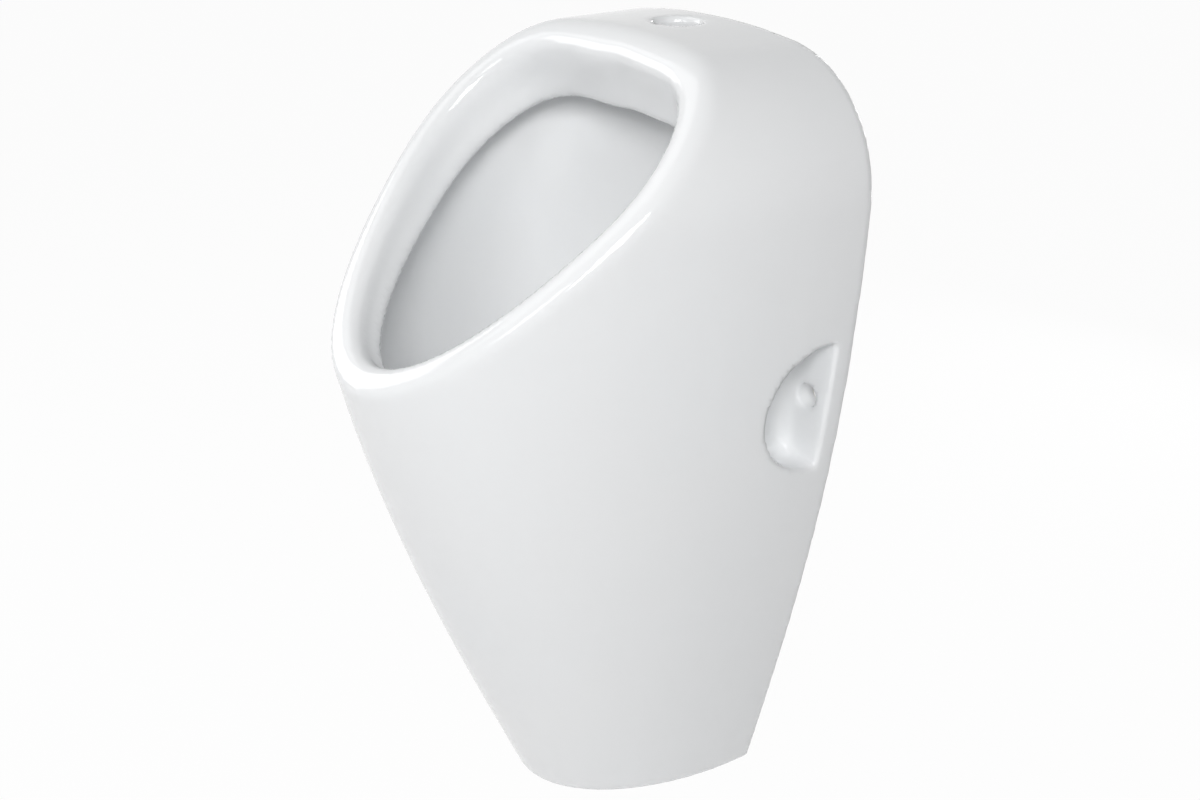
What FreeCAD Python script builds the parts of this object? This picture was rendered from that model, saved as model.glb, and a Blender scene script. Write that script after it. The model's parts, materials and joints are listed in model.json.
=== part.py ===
import FreeCAD, Part
import math
import os

from FreeCAD import Placement, Rotation, Vector

# Wall-hung urinal in vitreous china with its waste and concealed bottle trap, in millimetres.
# X runs across, +Y into the wall, Z up. Levels are heights above the lower end of the china.
# Every finished shape is then moved so that the origin is on the wall, midway between the fixing holes.

# China, outside
height = 600.0
low_half_width = 91.0
full_half_width = 161.0
widest_level = 480.0
low_depth = 165.0
full_depth = 331.0
crown_radius = 600.0
shoulder_radius = 95.0
lower_edge_radius = 6.0
rear_edge_radius = 3.0
wall = 12.0

# Mouth, rim and the funnel band inside it
deck_depth = 85.0
mouth_angle = 43.0
lip_rim_radius = 10.0
deck_rim_radius = 25.0
rim_crest_inset = 13.0
rim_growth = 4
crest_spill = 1.2
band_crest_radius = 9.0
band_crest_turns = (15, 40, 65)
band_width_low = 24.0
band_width_top = 36.0
band_growth = 1.5
band_drop_low = 28.0
band_drop_top = 45.0
band_edge_radius = 4.0

# Bowl, a row of egg-shaped sections
egg_power = 2.3
egg_taper = 0.3
bowl_floor_level = 190.0
bowl_full_level = 400.0
bowl_ceiling_level = 545.0
bowl_back_depth = 42.0
bowl_floor_radius = 48.0

# Flush chamber under the deck
inlet_radius = 17.5
inlet_depth = 38.0
inlet_edge_radius = 1.5
deck_thickness = 12.0
chamber_half_width = 70.0
chamber_front_depth = 66.0
chamber_corner_radius = 8.0
shelf_thickness = 8.0
spray_hole_radius = 3.5
spray_hole_count = 7
spray_pitch = 16.0
spray_from_wall = 11.0

# Fixing pockets and the open back
screw_level = 360.0
screw_spacing = 268.0
screw_hole_radius = 9.0
flange_thickness = 17.0
pocket_radius = 49.0
pocket_centre_depth = 21.0
pocket_floor_half_width = 114.0
pocket_ledge_blend = 12.0
pocket_floor_blend = 16.0
pocket_wall = 9.0
hollow_top_level = 498.0

# Waste through the bowl floor
drain_depth = 105.0
outlet_hole_radius = 27.0
boss_radius = 46.0
boss_drop = 6.0
seat_radius = 41.0
waste_flange_radius = 39.0
waste_flange_thickness = 3.0
waste_flange_chamfer = 1.0
waste_thread_radius = 23.9
waste_bore_radius = 19.0
waste_thread_below_nut = 13.0
top_gasket_thickness = 2.0
under_gasket_radius = 37.0
under_gasket_thickness = 5.0
backnut_radius = 36.0
backnut_height = 9.0
backnut_face_height = 2.0
backnut_corner_cut = 2.0
strainer_radius = 33.0
strainer_height = 7.0
strainer_plate = 2.0
strainer_crown_radius = 5.0
strainer_skirt_length = 8.0
strainer_slot_width = 4.0
strainer_slot_count = 8
strainer_slot_start = 7.0
strainer_slot_length = 9.0
strainer_slot_corner = 1.8

# Bottle trap
tail_radius = 20.0
tail_wall = 1.8
tail_collar_radius = 23.5
tail_collar_thickness = 3.0
washer_thickness = 2.0
union_nut_radius = 30.0
union_nut_lip = 3.0
union_nut_overlap = 10.0
inlet_nut_radius = 28.5
inlet_nut_height = 18.0
inlet_neck_length = 11.0
cone_washer_height = 5.0
housing_radius = 30.0
housing_wall = 2.6
housing_shoulder = 5.0
outlet_level = 86.0
outlet_pipe_radius = 20.0
outlet_pipe_wall = 1.9
outlet_neck_wall = 3.4
outlet_neck_end_depth = 61.0
outlet_nut_radius = 30.0
outlet_nut_length = 20.0
cup_radius = 34.0
cup_bottom_level = 6.0
cup_top_level = 52.0
cup_thread_length = 16.0
cup_floor = 3.0
tail_to_cup_floor = 12.0
cup_washer_thickness = 3.0
pipe_to_wall = 2.0
pipe_bead_height = 1.5
pipe_bead_length = 2.0

grip_width = 4.0
grip_stand = 1.3
grip_sink = 1.0
union_nut_grips = 12
inlet_nut_grips = 12
outlet_nut_grips = 12
cup_grips = 16
cup_plain_edge = 2.0
cup_ledge = 2.0
clearance = 0.3
reach = 900.0
ring_points = 16
rim_points = 24


# ---- china ----

def body_half_width(level):
    rise = min(level / widest_level, 1)
    return low_half_width + (full_half_width - low_half_width) * math.sin(math.pi / 2 * rise)


def body_depth(level):
    return low_depth + (full_depth - low_depth) * math.sin(math.pi / 2 * level / height)


def body_ring(level, inset):
    # a horizontal ellipse in two arcs that meet at the front centre
    wall_side = Vector(0, body_depth(level) - inset, level)
    right_side = Vector(body_half_width(level) - inset, 0, level)
    ellipse = Part.Ellipse(wall_side, right_side, Vector(0, 0, level))
    return Part.Wire([Part.Edge(ellipse, 0, math.pi), Part.Edge(ellipse, math.pi, 2 * math.pi)])


def body_loft(low, top, inset):
    steps = 7
    levels = [low + (top - low) * step / steps for step in range(steps + 1)]
    return Part.makeLoft([body_ring(level, inset) for level in levels], True)


def slab(near, far):
    # everything between two distances in front of the wall
    return Part.makeBox(2 * reach, near - far, 2 * reach, Vector(-reach, -near, -reach))


def mouth_place(along, drop):
    # a frame on the mouth plane: its Y climbs towards the deck and its Z points out of the mouth
    tilt = Rotation(Vector(1, 0, 0), mouth_angle)
    deck_edge = Vector(0, -deck_depth, height)
    return Placement(deck_edge + tilt.multVec(Vector(0, along, -drop)), tilt)


def space_above(place):
    block = Part.makeBox(2 * reach, 2 * reach, reach, Vector(-reach, -reach, 0))
    block.Placement = place
    return block


def samples(edge):
    span = edge.LastParameter - edge.FirstParameter
    return [edge.valueAt(edge.FirstParameter + span * step / 6) for step in range(7)]


def edges_where(shape, belongs):
    return [edge for edge in shape.Edges if all(belongs(point) for point in samples(edge))]


def on_plane(place):
    into_plane = place.inverse()
    return lambda point: abs(into_plane.multVec(point).z) < 0.02


def on_crown(point):
    return abs(math.hypot(point.x, point.z - height + crown_radius) - crown_radius) < 0.02


def on_rear_outline(point):
    return abs(point.y) < 0.01 and point.z > lower_edge_radius / 2


def on_inlet_edge(point):
    return on_crown(point) and abs(math.hypot(point.x, point.y + inlet_depth) - inlet_radius) < 0.02


def blend_shoulders(skin):
    off_centre = full_half_width - shoulder_radius
    sides = edges_where(skin, lambda point: on_crown(point) and abs(point.x) > off_centre)
    lengthwise = [edge for edge in sides if edge.BoundBox.YLength > edge.BoundBox.XLength]
    return skin.makeFillet(shoulder_radius, lengthwise)


def rim_radius(point, lip_level):
    # the rim grows softer from the lip to the deck
    rise = (point.z - lip_level) / (height - lip_level)
    return lip_rim_radius + (deck_rim_radius - lip_rim_radius) * rise ** rim_growth


def blend_rim(skin):
    rim = on_plane(mouth_place(0, 0))
    waiting = {number: [vertex.Point for vertex in edge.Vertexes]
               for number, edge in enumerate(skin.Edges, 1) if all(rim(point) for point in samples(edge))}
    lip_level = min(point.z for ends in waiting.values() for point in ends)
    number = min(waiting)
    end = waiting[number][0]
    radii = []
    while waiting:
        number = next(number for number, ends in waiting.items() if min(map(end.distanceToPoint, ends)) < 0.01)
        far_end = max(waiting.pop(number), key=end.distanceToPoint)
        radii.append((number, rim_radius(end, lip_level), rim_radius(far_end, lip_level)))
        end = far_end
    document = FreeCAD.newDocument("rim")
    base = document.addObject("Part::Feature", "skin")
    base.Shape = skin
    blend = document.addObject("Part::Fillet", "rim_blend")
    blend.Base = base
    blend.Edges = sorted(radii)
    blend.recompute()
    blended = blend.Shape.copy()
    FreeCAD.closeDocument(document.Name)
    return blended


def outer_skin():
    crown = Part.makeCylinder(crown_radius, 2 * reach, Vector(0, -reach, height - crown_radius), Vector(0, 1, 0))
    spare = wall * 2
    blank = body_loft(0, height, 0).common(crown).common(slab(reach, -spare))
    blank = blend_shoulders(blank.cut(space_above(mouth_place(0, -spare))))
    return blank.cut(space_above(mouth_place(0, 0))).common(slab(reach, 0))


def rounded(turn):
    return math.copysign(abs(turn) ** (2 / egg_power), turn)


def egg_ring(half_width, front, back, place):
    # a closed egg, wide at the back: local X across, local Y from front to back
    middle = (front + back) / 2
    half_length = (back - front) / 2
    points = []
    for step in range(ring_points):
        turn = math.pi / 2 + 2 * math.pi * step / ring_points
        along = rounded(math.sin(turn))
        across = rounded(math.cos(turn)) * (1 + egg_taper * along)
        points.append(place.multVec(Vector(half_width * across, middle + half_length * along, 0)))
    curve = Part.BSplineCurve()
    curve.interpolate(points, True)
    return Part.Wire(curve.toShape())


def bowl_ring(level, grow):
    # grows like a quarter ellipse from the flat round floor to the full bowl
    rise = min(max((level - bowl_floor_level) / (bowl_full_level - bowl_floor_level), 0), 1)
    spread = math.sqrt(1 - (1 - rise) ** 2)
    full_front = body_depth(level) - wall
    front = drain_depth + bowl_floor_radius + (full_front - drain_depth - bowl_floor_radius) * spread
    back = drain_depth - bowl_floor_radius - (drain_depth - bowl_floor_radius - bowl_back_depth) * spread
    middle = (front + back) / 2
    full_side = body_half_width(level) * math.sqrt(1 - (middle / body_depth(level)) ** 2) - wall
    side = bowl_floor_radius + (full_side - bowl_floor_radius) * spread
    place = Placement(Vector(0, 0, level - grow * (1 - spread)), Rotation())
    return egg_ring(side + grow, -front - grow, -back + grow, place)


def bowl_loft(grow):
    turns = 6
    curved = [1 - math.cos(math.pi / 2 * step / turns) for step in range(turns + 1)]
    levels = [bowl_floor_level + (bowl_full_level - bowl_floor_level) * share for share in curved]
    straight_steps = 3
    rest = bowl_ceiling_level + grow - bowl_full_level
    levels += [bowl_full_level + rest * (step + 1) / straight_steps for step in range(straight_steps)]
    return Part.makeLoft([bowl_ring(level, grow) for level in levels], True)


def rim_stations(skin):
    # evenly spaced points round the sharp rim, each with its inward direction and its rise above the lip
    into_mouth = mouth_place(0, 0).inverse()
    edges = edges_where(skin, on_plane(mouth_place(0, 0)))
    outline = Part.Wire(Part.sortEdges(edges)[0])
    fine = [into_mouth.multVec(point) for point in outline.discretize(rim_points * 100 + 1)[:-1]]
    deck_centre = fine.index(min(fine, key=Vector(0, 0, 0).distanceToPoint))
    points = (fine[deck_centre:] + fine[:deck_centre])[::100]
    lip_along = min(point.y for point in points)
    stations = []
    for before, point, after in zip(points[-1:] + points[:-1], points, points[1:] + points[:1]):
        inward = (after - before).cross(Vector(0, 0, 1)).normalize()
        if inward.dot(Vector(0, lip_along / 2, 0) - point) < 0:
            inward = -inward
        stations.append((point, inward, 1 - point.y / lip_along))
    return stations


def inner_rim_ring(stations, crest_inset, crest_drop, share):
    # share 0 is the crest ring itself, share 1 the band's lower edge, which lies in one sloping plane
    lip_along = min(point.y for point, inward, rise in stations)
    low_edge = lip_along + band_width_low
    top_edge = -band_width_top
    points = []
    for point, inward, rise in stations:
        full_inset = band_width_low + (band_width_top - band_width_low) * rise ** band_growth
        inner = point + inward * (crest_inset + (full_inset - crest_inset) * share)
        climb = (inner.y - low_edge) / (top_edge - low_edge)
        full_drop = band_drop_low + (band_drop_top - band_drop_low) * climb
        inner.z = -crest_drop - (full_drop - crest_drop) * share
        points.append(mouth_place(0, 0).multVec(inner))
    curve = Part.BSplineCurve()
    curve.interpolate(points, True)
    return Part.Wire(curve.toShape())


def funnel(stations):
    # rolls over the rim's crest, then runs straight down and past the band's lower edge
    rings = [inner_rim_ring(stations, rim_crest_inset - crest_spill, -crest_spill, 0)]
    for turn in band_crest_turns:
        inset = rim_crest_inset + band_crest_radius * math.sin(math.radians(turn))
        drop = band_crest_radius * (1 - math.cos(math.radians(turn)))
        rings.append(inner_rim_ring(stations, inset, drop, 0))
    for share in (0.35, 0.7, 1.05):
        rings.append(inner_rim_ring(stations, inset, drop, share))
    return Part.makeLoft(rings, True)


def band_underside(lip_along):
    # the plane of the band's lower edge, deeper under the deck than under the lip
    low = mouth_place(lip_along + band_width_low, band_drop_low).Base
    top = mouth_place(-band_width_top, band_drop_top).Base
    angle = math.degrees(math.atan2(top.z - low.z, top.y - low.y))
    return Placement(top, Rotation(Vector(1, 0, 0), angle))


def bowl_cavity(lip_along):
    return bowl_loft(0).cut(space_above(band_underside(lip_along)))


def upright(radius, low, top, across=0, depth=None):
    depth = drain_depth if depth is None else depth
    return Part.makeCylinder(radius, top - low, Vector(across, -depth, low))


def flush_chamber():
    low = bowl_ceiling_level + shelf_thickness
    top = height - deck_thickness
    length = chamber_front_depth - flange_thickness
    box = Part.makeBox(2 * chamber_half_width, length, top - low,
                       Vector(-chamber_half_width, -chamber_front_depth, low))
    corners = [edge for edge in box.Edges if edge.BoundBox.ZLength > shelf_thickness]
    return box.makeFillet(chamber_corner_radius, corners)


def spray_holes():
    depth = bowl_back_depth + spray_from_wall
    first = -spray_pitch * (spray_hole_count - 1) / 2
    low = bowl_ceiling_level - shelf_thickness
    top = bowl_ceiling_level + shelf_thickness + chamber_corner_radius
    return [upright(spray_hole_radius, low, top, first + spray_pitch * number, depth)
            for number in range(spray_hole_count)]


def corner_arc(centre, radius, start, end):
    # an arc in the XY plane between two angles
    start, middle, end = (centre + Vector(math.cos(turn), math.sin(turn), 0) * radius
                          for turn in (math.radians(start), math.radians((start + end) / 2), math.radians(end)))
    return Part.Arc(start, middle, end).toShape()


def closed_face(parts):
    # joins arcs and bare corner points, in order, into one flat face
    edges = []
    ends = [(part, part) if isinstance(part, Vector) else (part.firstVertex().Point, part.lastVertex().Point)
            for part in parts]
    for index, part in enumerate(parts):
        if not isinstance(part, Vector):
            edges.append(part)
        start = ends[index][1]
        end = ends[(index + 1) % len(parts)][0]
        if start.distanceToPoint(end) > 1e-6:
            edges.append(Part.makeLine(start, end))
    return Part.Face(Part.Wire(edges))


def pocket(grow):
    # a dish turned about a line across the body, cut off by the back flange with a soft inner corner
    floor = pocket_floor_half_width - grow
    radius = pocket_radius + grow
    blend = pocket_floor_blend + grow
    profile = closed_face([
        Vector(floor, 0, 0),
        Vector(reach, 0, 0),
        Vector(reach, radius, 0),
        corner_arc(Vector(floor + blend, radius - blend, 0), blend, 90, 180)])
    dish = profile.revolve(Vector(0, 0, 0), Vector(1, 0, 0), 360)
    dish.translate(Vector(0, -pocket_centre_depth, screw_level))
    blend = pocket_ledge_blend + grow
    ledge = grow - flange_thickness
    plan = closed_face([
        Vector(reach, ledge, 0),
        corner_arc(Vector(floor + blend, ledge - blend, 0), blend, 90, 180),
        Vector(floor, -reach, 0),
        Vector(reach, -reach, 0)])
    plan.translate(Vector(0, 0, screw_level - 2 * radius))
    return dish.common(plan.extrude(Vector(0, 0, 4 * radius)))


def mirrored(shape):
    return [shape, shape.mirror(Vector(0, 0, 0), Vector(1, 0, 0))]


def hollow():
    # behind and below the bowl, open to the wall and at the lower end
    space = body_loft(-wall, hollow_top_level, wall).common(slab(reach, -wall))
    lugs = []
    lug_inner = screw_spacing / 2 - pocket_radius
    lug = Part.makeBox(reach, flange_thickness + reach, 2 * pocket_radius + 2 * pocket_wall,
                       Vector(lug_inner, -flange_thickness, screw_level - pocket_radius - pocket_wall))
    lugs += mirrored(lug) + mirrored(pocket(pocket_wall))
    boss = upright(boss_radius, bowl_floor_level - wall - boss_drop, bowl_floor_level)
    return space.cut([bowl_loft(wall), boss] + lugs)


def waste_seat():
    recess = waste_flange_thickness + top_gasket_thickness
    seat = upright(seat_radius, bowl_floor_level - recess, bowl_floor_level + wall)
    return seat.fuse(upright(outlet_hole_radius, 0, bowl_floor_level))


def ceramic_body():
    skin = outer_skin()
    stations = rim_stations(skin)
    lip_along = min(point.y for point, inward, rise in stations)
    body = blend_rim(skin)
    body = body.makeFillet(lower_edge_radius, edges_where(body, lambda point: abs(point.z) < 0.01)[:2])
    body = body.makeFillet(rear_edge_radius, edges_where(body, on_rear_outline))
    right_half = body.common(Part.makeBox(reach, 2 * reach, 2 * reach, Vector(0, -reach, -reach)))
    body = right_half.fuse(mirrored(right_half)[1])
    inlet = upright(inlet_radius, height - deck_thickness - chamber_corner_radius, height + 1, 0, inlet_depth)
    screw_hole = Part.makeCylinder(screw_hole_radius, flange_thickness * 3,
                                   Vector(screw_spacing / 2, -flange_thickness * 2, screw_level), Vector(0, 1, 0))
    body = body.cut(bowl_cavity(lip_along).fuse(funnel(stations)))
    edge_ring = edges_where(body, on_plane(band_underside(lip_along)))
    band_edge = min(edge_ring, key=lambda edge: edge.BoundBox.XLength + 1e6 * (edge.Length < 600))
    body = body.makeFillet(band_edge_radius, [band_edge])
    body = body.cut([flush_chamber(), inlet, hollow(), waste_seat()] + spray_holes())
    body = body.makeFillet(inlet_edge_radius, edges_where(body, on_inlet_edge))
    return body.cut(mirrored(pocket(0)) + mirrored(screw_hole))


# ---- waste ----

# levels of the stack under the bowl floor, from the top down
flange_top = bowl_floor_level
flange_bottom = flange_top - waste_flange_thickness
seat_level = flange_bottom - top_gasket_thickness
boss_bottom = bowl_floor_level - wall - boss_drop
under_gasket_bottom = boss_bottom - under_gasket_thickness
backnut_bottom = under_gasket_bottom - backnut_height
waste_end = backnut_bottom - waste_thread_below_nut
collar_top = waste_end - washer_thickness
collar_bottom = collar_top - tail_collar_thickness
union_nut_bottom = collar_bottom - union_nut_lip
union_nut_top = waste_end + union_nut_overlap


def ring(outer_radius, inner_radius, low, top):
    return upright(outer_radius, low, top).cut(upright(inner_radius, low - 1, top + 1))


def turned(profile):
    # revolves (radius, level) points about the drain's axis
    points = [Vector(radius, 0, level) for radius, level in profile]
    face = Part.Face(Part.makePolygon(points + points[:1]))
    solid = face.revolve(Vector(0, 0, 0), Vector(0, 0, 1), 360)
    solid.translate(Vector(0, -drain_depth, 0))
    return solid


def gripped(nut, radius, low, top, count):
    # raised grips round a hand nut, standing parallel to its axis
    grips = []
    for number in range(count):
        grip = Part.makeBox(grip_sink + grip_stand, grip_width, top - low,
                            Vector(radius - grip_sink, -grip_width / 2 - drain_depth, low))
        grip.rotate(Vector(0, -drain_depth, 0), Vector(0, 0, 1), 360 * number / count)
        grips.append(grip)
    return nut.fuse(grips)


def waste_body():
    flange = ring(waste_flange_radius, waste_bore_radius, flange_bottom, flange_top)
    flange = flange.makeChamfer(waste_flange_chamfer, edges_where(
        flange, lambda point: abs(point.z - flange_top) < 0.01))
    return flange.fuse(ring(waste_thread_radius, waste_bore_radius, waste_end, flange_bottom))


def waste_top_gasket():
    return ring(waste_flange_radius, waste_thread_radius + clearance, seat_level, flange_bottom)


def waste_under_gasket():
    return ring(under_gasket_radius, waste_thread_radius + clearance, under_gasket_bottom, boss_bottom)


def waste_backnut():
    blank = Part.Face(Part.makePolygon([
        Vector(backnut_radius * math.cos(math.radians(60 * side)),
               backnut_radius * math.sin(math.radians(60 * side)) - drain_depth, backnut_bottom)
        for side in range(7)])).extrude(Vector(0, 0, backnut_height))
    nut = blank.cut(upright(waste_thread_radius + clearance, backnut_bottom - 1, under_gasket_bottom + 1))
    face_bottom = under_gasket_bottom - backnut_face_height
    washer_face = ring(backnut_radius, waste_thread_radius + clearance, face_bottom, under_gasket_bottom)
    corners = upright(backnut_radius - backnut_corner_cut, backnut_bottom, under_gasket_bottom)
    return nut.common(corners).fuse(washer_face)


def drain_strainer():
    # a turned plate: flat crown, sloping ring with slots, thin rim
    rim = flange_top + clearance
    crown = rim + strainer_height
    spigot_radius = waste_bore_radius - clearance
    inner = spigot_radius - strainer_plate
    slope = (strainer_height - strainer_plate) / (strainer_radius - strainer_crown_radius)
    under_inner = crown - strainer_plate - slope * (inner - strainer_crown_radius)
    plate = turned([
        (0, crown), (strainer_crown_radius, crown), (strainer_radius, rim + strainer_plate), (strainer_radius, rim),
        (spigot_radius, rim), (spigot_radius, rim - strainer_skirt_length), (inner, rim - strainer_skirt_length),
        (inner, under_inner), (strainer_crown_radius, crown - strainer_plate), (0, crown - strainer_plate)])
    slots = []
    for number in range(strainer_slot_count):
        slot = Part.makeBox(strainer_slot_length, strainer_slot_width, strainer_height,
                            Vector(strainer_slot_start, -strainer_slot_width / 2, 0))
        slot = slot.makeFillet(strainer_slot_corner, [edge for edge in slot.Edges
                               if edge.BoundBox.ZLength > strainer_height / 2])
        slot.rotate(Vector(0, 0, 0), Vector(0, 0, 1), 360 * number / strainer_slot_count)
        slot.translate(Vector(0, -drain_depth, rim + strainer_plate / 2))
        slots.append(slot)
    return plate.cut(slots)


# ---- bottle trap ----

tail_end = cup_bottom_level + cup_floor + tail_to_cup_floor
outlet_neck_radius = outlet_pipe_radius + clearance + outlet_neck_wall
housing_top = outlet_level + outlet_neck_radius
housing_bottom = cup_top_level - cup_thread_length
neck_radius = tail_radius + clearance + outlet_neck_wall
inlet_neck_top = housing_top + inlet_neck_length
inlet_nut_top = inlet_neck_top + cone_washer_height + washer_thickness
inlet_nut_bottom = inlet_nut_top - inlet_nut_height


def tail_union_nut():
    bore = ring(union_nut_radius, waste_thread_radius + clearance, collar_bottom, union_nut_top)
    lip = ring(union_nut_radius, tail_radius + clearance, union_nut_bottom, collar_bottom)
    return gripped(bore.fuse(lip), union_nut_radius, union_nut_bottom, union_nut_top, union_nut_grips)


def tail_union_washer():
    return ring(tail_collar_radius, waste_bore_radius, collar_top, waste_end)


def trap_dip_tube():
    bore = tail_radius - tail_wall
    collar = ring(tail_collar_radius, bore, collar_bottom, collar_top)
    return ring(tail_radius, bore, tail_end, collar_bottom).fuse(collar)


def trap_slip_nut():
    bore = ring(inlet_nut_radius, neck_radius + clearance, inlet_nut_bottom, inlet_nut_top - washer_thickness)
    lip = ring(inlet_nut_radius, tail_radius + clearance, inlet_nut_top - washer_thickness, inlet_nut_top)
    return gripped(bore.fuse(lip), inlet_nut_radius, inlet_nut_bottom, inlet_nut_top, inlet_nut_grips)


def trap_slip_washer():
    top = inlet_neck_top + cone_washer_height
    inner = tail_radius + clearance
    return turned([(inner, top), (neck_radius, top), (neck_radius, inlet_neck_top), (inner, inlet_neck_top)])


def level_tube(outer_radius, inner_radius, near_wall, far_from_wall):
    # a tube along Y at the outlet's level, between two distances from the wall
    start = Vector(0, -far_from_wall, outlet_level)
    length = far_from_wall - near_wall
    tube = Part.makeCylinder(outer_radius, length, start, Vector(0, 1, 0))
    return tube.cut(Part.makeCylinder(inner_radius, length, start, Vector(0, 1, 0)))


def trap_housing():
    inner = housing_radius - housing_wall
    shell = upright(housing_radius, housing_bottom, housing_top)
    shell = shell.makeChamfer(housing_shoulder, edges_where(shell, lambda point: abs(point.z - housing_top) < 0.01))
    shell = shell.fuse(upright(neck_radius, housing_top - housing_wall, inlet_neck_top))
    neck = Part.makeCylinder(outlet_neck_radius, drain_depth - outlet_neck_end_depth,
                             Vector(0, -drain_depth, outlet_level), Vector(0, 1, 0))
    shell = shell.fuse(neck)
    inside = upright(inner, housing_bottom - 1, housing_top - housing_wall)
    inlet = upright(tail_radius + clearance, housing_bottom, inlet_neck_top + 1)
    outlet = Part.makeCylinder(outlet_pipe_radius + clearance, drain_depth, Vector(0, -drain_depth, outlet_level),
                               Vector(0, 1, 0))
    return shell.cut([inside, inlet, outlet])


def trap_cup():
    inner = housing_radius + clearance
    cup = upright(cup_radius, cup_bottom_level, cup_top_level)
    cup = cup.makeChamfer(cup_floor, edges_where(cup, lambda point: abs(point.z - cup_bottom_level) < 0.01))
    cup = cup.cut(upright(inner, housing_bottom - cup_washer_thickness, cup_top_level + 1))
    cup = cup.cut(upright(housing_radius - housing_wall - cup_ledge, cup_bottom_level + cup_floor, cup_top_level))
    return gripped(cup, cup_radius, cup_bottom_level + cup_floor, cup_top_level - cup_plain_edge, cup_grips)


def trap_cup_washer():
    return ring(housing_radius, housing_radius - housing_wall, housing_bottom - cup_washer_thickness, housing_bottom)


def outlet_slip_nut():
    near = outlet_neck_end_depth - cone_washer_height - washer_thickness
    far = near + outlet_nut_length
    lip = level_tube(outlet_nut_radius, outlet_pipe_radius + clearance, near, near + washer_thickness)
    nut = level_tube(outlet_nut_radius, outlet_neck_radius + clearance, near + washer_thickness, far).fuse(lip)
    grips = []
    for number in range(outlet_nut_grips):
        grip = Part.makeBox(grip_width, outlet_nut_length, grip_sink + grip_stand,
                            Vector(-grip_width / 2, -far, outlet_level + outlet_nut_radius - grip_sink))
        grip.rotate(Vector(0, 0, outlet_level), Vector(0, 1, 0), 360 * number / outlet_nut_grips)
        grips.append(grip)
    return nut.fuse(grips)


def outlet_washer():
    far = outlet_neck_end_depth
    return level_tube(outlet_neck_radius, outlet_pipe_radius + clearance, far - cone_washer_height, far)


def outlet_pipe():
    # a plain tube with a small bead that stops the nut from sliding towards the wall
    far = drain_depth - housing_radius + housing_wall
    bore = outlet_pipe_radius - outlet_pipe_wall
    bead_end = outlet_neck_end_depth - cone_washer_height - washer_thickness - clearance
    bead = level_tube(outlet_pipe_radius + pipe_bead_height, bore, bead_end - pipe_bead_length, bead_end)
    return level_tube(outlet_pipe_radius, bore, pipe_to_wall, far).fuse(bead)


pieces = (
    ceramic_body, drain_strainer, waste_body, waste_top_gasket, waste_under_gasket, waste_backnut,
    tail_union_nut, tail_union_washer, trap_dip_tube, trap_slip_nut, trap_slip_washer, trap_housing,
    trap_cup, trap_cup_washer, outlet_slip_nut, outlet_washer, outlet_pipe)

os.makedirs("parts", exist_ok=True)
for piece in pieces:
    shape = piece()
    shape.translate(Vector(0, 0, -screw_level))
    shape.exportStep("parts/" + piece.__name__ + ".step")
    print(piece.__name__, len(shape.Solids), shape.isValid(), round(shape.Volume))
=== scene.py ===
import json
import math

import bpy
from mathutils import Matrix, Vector

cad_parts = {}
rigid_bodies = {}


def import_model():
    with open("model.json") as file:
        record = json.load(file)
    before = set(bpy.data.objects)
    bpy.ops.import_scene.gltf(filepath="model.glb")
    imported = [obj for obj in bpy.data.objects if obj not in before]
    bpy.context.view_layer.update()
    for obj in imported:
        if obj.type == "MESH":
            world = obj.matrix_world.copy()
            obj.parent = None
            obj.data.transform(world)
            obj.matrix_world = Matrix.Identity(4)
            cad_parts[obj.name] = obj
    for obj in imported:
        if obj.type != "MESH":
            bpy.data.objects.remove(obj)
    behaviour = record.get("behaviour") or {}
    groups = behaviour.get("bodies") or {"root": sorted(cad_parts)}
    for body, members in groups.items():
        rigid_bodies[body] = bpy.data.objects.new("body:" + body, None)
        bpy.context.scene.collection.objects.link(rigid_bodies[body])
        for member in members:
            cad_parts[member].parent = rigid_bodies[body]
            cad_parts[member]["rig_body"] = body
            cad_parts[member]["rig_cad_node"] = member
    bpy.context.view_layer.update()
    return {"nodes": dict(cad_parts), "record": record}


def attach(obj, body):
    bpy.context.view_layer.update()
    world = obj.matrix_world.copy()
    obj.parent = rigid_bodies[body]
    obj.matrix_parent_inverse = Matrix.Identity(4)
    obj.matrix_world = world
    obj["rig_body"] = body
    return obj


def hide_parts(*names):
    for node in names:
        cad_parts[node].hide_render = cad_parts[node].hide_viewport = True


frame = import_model()
nodes = frame["nodes"]
print("frame loaded:", len(nodes), "nodes")


# The camera was fitted to the outline, the rim and the pocket.

camera = {
    "azimuth": 55.52,              # degrees to the right of straight ahead
    "elevation": 27.02,            # degrees above level
    "distance": 1.0196,            # metres from the target
    "target": (0, -0.15, -0.060),
    "lens": 40.836,                # millimetres, on the sensor below
    "sensor": 36,
    "shift": (0.04745, 0.04077),   # puts the urinal off the middle without turning the camera
    "nearest": 0.05,
}


def lookAlong(thing, direction):
    # cameras and lamps look along their own -Z
    thing.rotation_mode = "QUATERNION"
    thing.rotation_quaternion = direction.to_track_quat("-Z", "Y")


turn = math.radians(camera["azimuth"])
rise = math.radians(camera["elevation"])
backwards = Vector((math.sin(turn) * math.cos(rise), -math.cos(turn) * math.cos(rise), math.sin(rise)))
bpy.ops.object.camera_add(location=Vector(camera["target"]) + backwards * camera["distance"])
viewer = bpy.context.object
lookAlong(viewer, -backwards)
viewer.data.sensor_width = camera["sensor"]
viewer.data.lens = camera["lens"]
viewer.data.shift_x, viewer.data.shift_y = camera["shift"]
viewer.data.clip_start = camera["nearest"]
bpy.context.scene.camera = viewer
bpy.context.scene.view_settings.view_transform = "Standard"
print("camera placed")


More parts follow.
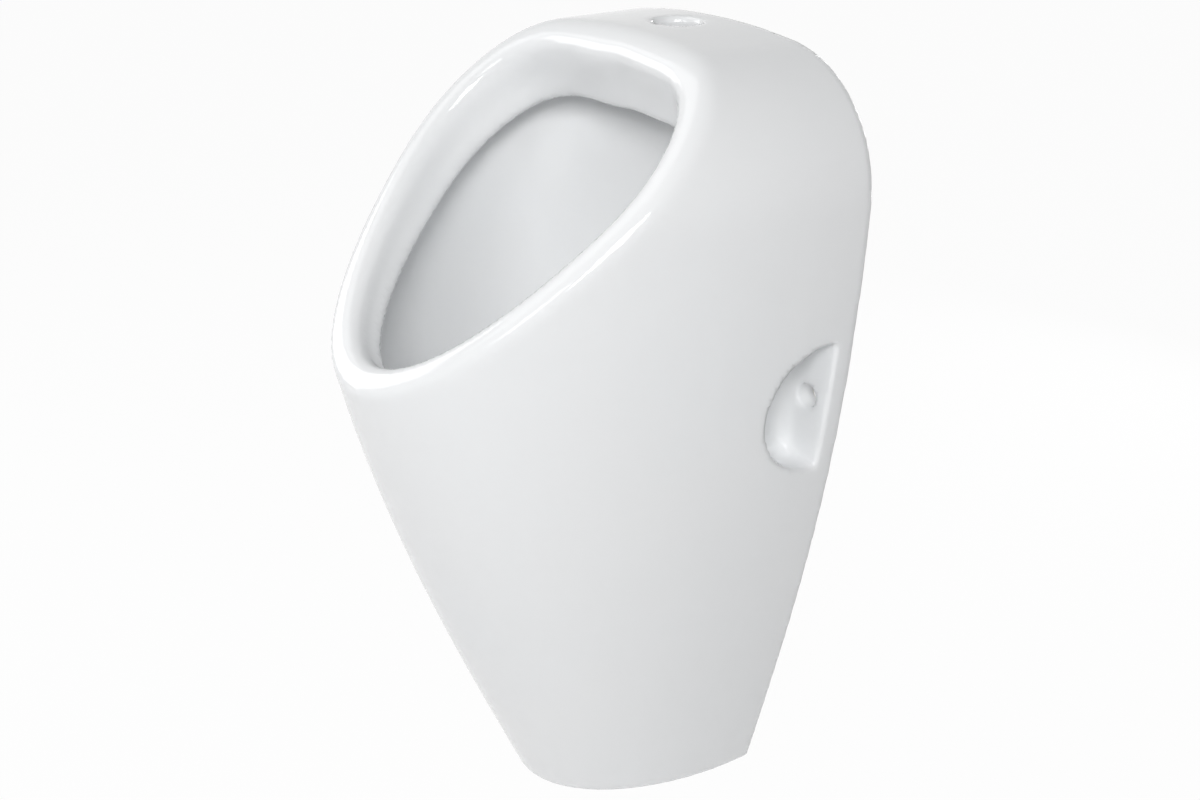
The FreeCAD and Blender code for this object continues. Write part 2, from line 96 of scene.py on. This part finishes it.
class Graph:
    # a node tree, with the one way that nodes are added to it

    def __init__(self, tree):
        self.tree = tree

    def fill(self, slot, value):
        if isinstance(value, Val):
            value = value.socket
        if isinstance(value, bpy.types.NodeSocket):
            self.tree.links.new(value, slot)
        else:
            slot.default_value = value

    def node(self, kind, settings=None, sockets=None):
        made = self.tree.nodes.new("ShaderNode" + kind)
        for key, value in (settings or {}).items():
            setattr(made, key, value)
        for key, value in (sockets or {}).items():
            self.fill(made.inputs[key], value)
        return made


class Val:
    # a number socket that can stand in a plain expression

    def __init__(self, graph, socket):
        self.graph = graph
        self.socket = socket

    def math(self, operation, first, second):
        made = self.graph.node("Math", {"operation": operation}, {0: first, 1: second})
        return Val(self.graph, made.outputs[0])

    def __add__(self, other):
        return self.math("ADD", self, other)

    def __radd__(self, other):
        return self.math("ADD", other, self)

    def __sub__(self, other):
        return self.math("SUBTRACT", self, other)

    def __rsub__(self, other):
        return self.math("SUBTRACT", other, self)

    def __mul__(self, other):
        return self.math("MULTIPLY", self, other)

    def __rmul__(self, other):
        return self.math("MULTIPLY", other, self)

    def __truediv__(self, other):
        return self.math("DIVIDE", self, other)

    def clamp(self):
        return self.math("MINIMUM", self.math("MAXIMUM", self, 0.0), 1.0)

    def ramp(self, low, high):
        # 0 below low, 1 above high and straight between them
        return ((self - low) / (high - low)).clamp()


class Finish(Graph):
    # one material, whose patterns lie on the piece's own coordinates in metres

    def __init__(self, name, constants=None):
        self.material = bpy.data.materials.new(name)
        self.material.use_nodes = True
        super().__init__(self.material.node_tree)
        self.shader = self.tree.nodes["Principled BSDF"]
        for socket, value in (constants or {}).items():
            self.shader.inputs[socket].default_value = value

    def place(self):
        return self.node("TexCoord").outputs["Object"]

    def noise(self, scale, detail=3.0, stretch=(1, 1, 1)):
        spot = self.node("Mapping", sockets={"Vector": self.place(), "Scale": stretch}).outputs[0]
        made = self.node("TexNoise", sockets={"Vector": spot, "Scale": scale, "Detail": detail})
        return Val(self, made.outputs[0])

    def mix(self, share, first, second):
        made = self.node("Mix", {"data_type": "RGBA"}, {0: share, 6: first, 7: second})
        return made.outputs[2]

    def feed(self, socket, value):
        self.fill(self.shader.inputs[socket], value)

    def bump(self, height, values):
        sockets = {"Height": height, "Strength": values["bump"], "Distance": values["relief"]}
        self.feed("Normal", self.node("Bump", sockets=sockets).outputs[0])

    def drift(self, pattern, values):
        # colour and roughness that change together along one pattern
        share = pattern.ramp(*values["blend"])
        self.feed("Base Color", self.mix(share, values["colour"], values["secondColour"]))
        self.feed("Roughness", values["roughness"] + values["roughnessVaries"] * pattern)


china = {
    "glaze": (0.905, 0.913, 0.92, 1),
    "glazeThick": (0.898, 0.91, 0.92, 1),     # a little cooler where the glaze has pooled
    "pools": 9.0,                             # per metre, as all patterns here
    "blend": (0.35, 0.7),                     # between these values the second colour takes over
    "roughness": 0.07,
    "roughnessVaries": 0.025,
    "ripples": 38.0,
    "bare": (0.74, 0.715, 0.67, 1),           # fired body without glaze
    "speck": (0.58, 0.55, 0.52, 1),
    "specks": 1400.0,
    "speckBlend": (0.74, 0.8),
    "grain": 900.0,
    "grainHeight": 0.35,                      # of a ripple's height
    "bareRoughness": 0.75,
    "bareDepth": 0.0012,                      # how near the wall the rear face is bare
    "footLevel": -0.3595,                     # the lower edge is bare below this
    "fade": 0.0012,                           # width of the glaze's edge
    "bump": 0.10,
    "relief": 0.0006,                         # metres, as all reliefs here
}


def glazedChina():
    look = Finish("glazedChina", {"IOR": 1.52, "Specular IOR Level": 0.5})
    axes = look.node("SeparateXYZ", sockets={0: look.place()})
    depth = Val(look, axes.outputs[1])
    level = Val(look, axes.outputs[2])
    halfFade = china["fade"] / 2
    bareWall = depth.ramp(-china["bareDepth"] - halfFade, -china["bareDepth"] + halfFade)
    bareFoot = 1 - level.ramp(china["footLevel"], china["footLevel"] + china["fade"])
    bare = (bareWall + bareFoot).clamp()
    pooled = look.noise(china["pools"], detail=2.0)
    glaze = look.mix(pooled.ramp(*china["blend"]), china["glaze"], china["glazeThick"])
    specks = look.noise(china["specks"], detail=1.0).ramp(*china["speckBlend"])
    clay = look.mix(specks, china["bare"], china["speck"])
    look.feed("Base Color", look.mix(bare, glaze, clay))
    glazeRoughness = china["roughness"] + china["roughnessVaries"] * pooled
    look.feed("Roughness", glazeRoughness + bare * china["bareRoughness"])
    ripple = look.noise(china["ripples"], detail=2.0)
    grain = look.noise(china["grain"], detail=2.0)
    look.bump(ripple * (1 - bare) + grain * bare * china["grainHeight"], china)
    return look.material


plastic = {
    "colour": (0.80, 0.80, 0.785, 1),
    "secondColour": (0.74, 0.74, 0.72, 1),
    "clouds": 30.0,
    "blend": (0.35, 0.7),
    "roughness": 0.32,
    "roughnessVaries": 0.12,
    "grain": 1800.0,
    "bump": 0.15,
    "relief": 0.0002,
}


def mouldedPlastic():
    look = Finish("mouldedPlastic", {"IOR": 1.49})
    look.drift(look.noise(plastic["clouds"], detail=2.0), plastic)
    look.bump(look.noise(plastic["grain"], detail=2.0), plastic)
    return look.material


steel = {
    "colour": (0.606, 0.60, 0.594, 1),
    "secondColour": (0.704, 0.70, 0.696, 1),
    "streaks": 90.0,
    "stretch": (14, 1, 1),         # the brush ran along Y
    "blend": (0.3, 0.7),
    "roughness": 0.22,
    "roughnessVaries": 0.16,
    "bump": 0.12,
    "relief": 0.0002,
}


def brushedSteel():
    look = Finish("brushedSteel", {"Metallic": 1.0})
    streak = look.noise(steel["streaks"], detail=4.0, stretch=steel["stretch"])
    look.drift(streak, steel)
    look.bump(streak, steel)
    return look.material


plating = {
    "colour": (0.756, 0.76, 0.764, 1),
    "secondColour": (0.68, 0.68, 0.68, 1),
    "clouds": 45.0,
    "blend": (0.3, 0.75),
    "roughness": 0.08,
    "roughnessVaries": 0.12,
    "grain": 300.0,
    "bump": 0.05,
    "relief": 0.0003,
}


def platedBrass():
    look = Finish("platedBrass", {"Metallic": 1.0})
    look.drift(look.noise(plating["clouds"]), plating)
    look.bump(look.noise(plating["grain"]), plating)
    return look.material


brass = {
    "colour": (0.66, 0.49, 0.24, 1),
    "secondColour": (0.52, 0.37, 0.17, 1),
    "clouds": 60.0,
    "blend": (0.35, 0.7),
    "roughness": 0.28,
    "roughnessVaries": 0.2,
    "grain": 700.0,
    "bump": 0.25,
    "relief": 0.0004,
}


def castBrass():
    look = Finish("castBrass", {"Metallic": 1.0})
    look.drift(look.noise(brass["clouds"], detail=4.0), brass)
    look.bump(look.noise(brass["grain"]), brass)
    return look.material


rubber = {
    "colour": (0.028, 0.028, 0.028, 1),
    "secondColour": (0.05, 0.05, 0.05, 1),
    "clouds": 120.0,
    "blend": (0.35, 0.7),
    "roughness": 0.6,
    "roughnessVaries": 0.2,
    "grain": 1500.0,
    "bump": 0.3,
    "relief": 0.0003,
}


def sealRubber():
    look = Finish("sealRubber")
    look.drift(look.noise(rubber["clouds"]), rubber)
    look.bump(look.noise(rubber["grain"]), rubber)
    return look.material


finishes = {
    "china": glazedChina(),
    "strainer_steel": brushedSteel(),
    "waste_brass": platedBrass(),
    "nut_brass": castBrass(),
    "trap_plastic": mouldedPlastic(),
    "seal_rubber": sealRubber(),
}
print("materials made:", len(finishes))


bodyOf = {node: body for body, members in frame["record"]["behaviour"]["bodies"].items() for node in members}
slotOf = {entry["node"]: entry["material_slot"] for entry in frame["record"]["subparts"]}
mergeWithin = 1e-6                 # metres; a CAD mesh comes as loose triangles


def selectOnly(thing):
    bpy.ops.object.select_all(action="DESELECT")
    thing.select_set(True)
    bpy.context.view_layer.objects.active = thing


def mergedCopy(node, name):
    source = nodes[node]
    piece = source.copy()
    piece.data = source.data.copy()
    piece.name = name
    piece.parent = None
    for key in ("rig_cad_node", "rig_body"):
        if key in piece:
            del piece[key]
    bpy.context.scene.collection.objects.link(piece)
    selectOnly(piece)
    bpy.ops.object.mode_set(mode="EDIT")
    bpy.ops.mesh.select_all(action="SELECT")
    bpy.ops.mesh.remove_doubles(threshold=mergeWithin)
    bpy.ops.object.mode_set(mode="OBJECT")
    return piece


def dress(piece, node):
    piece.data.materials.clear()
    piece.data.materials.append(finishes[slotOf[node]])
    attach(piece, bodyOf[node])
    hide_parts(node)


chinaSkin = {
    "halvings": 8,                 # of the grid that follows the sharp edges
    "gridReach": 0.6,
    "smoothing": 3,                # passes, rounding each edge as the glaze does
    "smoothingPull": 0.5,
}


def chinaBody(node):
    piece = mergedCopy(node, "chinaBody")
    even = piece.modifiers.new("evenSkin", "REMESH")
    even.mode = "SHARP"
    even.octree_depth = chinaSkin["halvings"]
    even.scale = chinaSkin["gridReach"]
    even.use_remove_disconnected = False
    bpy.ops.object.modifier_apply(modifier=even.name)
    soften = piece.modifiers.new("firedEdges", "SMOOTH")
    soften.factor = chinaSkin["smoothingPull"]
    soften.iterations = chinaSkin["smoothing"]
    bpy.ops.object.modifier_apply(modifier=soften.name)
    bpy.ops.object.shade_smooth()
    dress(piece, node)
    print("china body:", len(piece.data.polygons), "faces")


fitting = {
    "sharpFrom": 35,               # degrees; flatter edges are shaded smooth
}


def wasteOrTrapPiece(node):
    piece = mergedCopy(node, node + "_dressed")
    bpy.ops.object.shade_smooth_by_angle(angle=math.radians(fitting["sharpFrom"]))
    dress(piece, node)


chinaNode = "ceramic_body"
chinaBody(chinaNode)
fittings = [node for node in sorted(nodes) if node != chinaNode]
for node in fittings:
    wasteOrTrapPiece(node)
print("waste and trap dressed:", len(fittings), "pieces")


def shownWhite(graph, shader, glowKind, share):
    # the camera and reflections see plain white, and all other light the shader as it is
    path = graph.node("LightPath")
    straight, mirrored, through = [Val(graph, path.outputs["Is " + ray + " Ray"])
                                   for ray in ("Camera", "Glossy", "Transmission")]
    seen = (straight + mirrored + through).clamp() * share
    glow = graph.node(glowKind, sockets={0: (1, 1, 1, 1), 1: 1.0})
    blend = graph.node("MixShader", sockets={0: seen, 1: shader.outputs[0], 2: glow.outputs[0]})
    return blend.outputs[0]


ground = {
    "level": -0.845,
    "size": 30,
    "colour": (0.9, 0.9, 0.9, 1),
    "roughness": 0.9,
    "whiteShare": 0.96,            # the rest keeps the urinal's shadow
}

bpy.ops.mesh.primitive_plane_add(size=ground["size"], location=(0, 0, ground["level"]))
floor = bpy.context.object
floor.name = "floor"
floorLook = Finish("paleFloor", {"Base Color": ground["colour"], "Roughness": ground["roughness"]})
shown = shownWhite(floorLook, floorLook.shader, "Emission", ground["whiteShare"])
floorLook.fill(floorLook.tree.nodes["Material Output"].inputs["Surface"], shown)
floor.data.materials.append(floorLook.material)
print("floor laid")


studio = {
    "air": (0.98, 0.99, 1, 1),
    "ambient": 0.15,
    "lamps": {
        # name: (place, aimed at, size in metres, watts)
        "mouth": ((1.68, -1.64, 1.35), (0, -0.15, 0), 0.9, 41),
        "front": ((0.45, -2.2, 1.3), (0, -0.15, 0), 0.6, 6),
        "left": ((-2.18, -1.41, 0.67), (0, -0.15, 0), 1.5, 19),
        "highLeft": ((-1.45, -0.99, 1.99), (0, -0.15, 0), 1.4, 7.5),
        "rear": ((-0.7, 2.3, 0.1), (0, -0.1, -0.1), 1.2, 16),
    },
}

world = bpy.data.worlds.new("studio")
bpy.context.scene.world = world
world.use_nodes = True
surround = Graph(world.node_tree)
sky = surround.tree.nodes["Background"]
sky.inputs[0].default_value = studio["air"]
sky.inputs[1].default_value = studio["ambient"]
surround.fill(surround.tree.nodes["World Output"].inputs[0], shownWhite(surround, sky, "Background", 1.0))

for name, (place, aim, size, watts) in studio["lamps"].items():
    bpy.ops.object.light_add(type="AREA", location=place)
    lamp = bpy.context.object
    lamp.name = name + "Lamp"
    lamp.data.shape = "SQUARE"
    lamp.data.size = size
    lamp.data.energy = watts
    lookAlong(lamp, Vector(aim) - Vector(place))
print("lamps set:", len(studio["lamps"]))
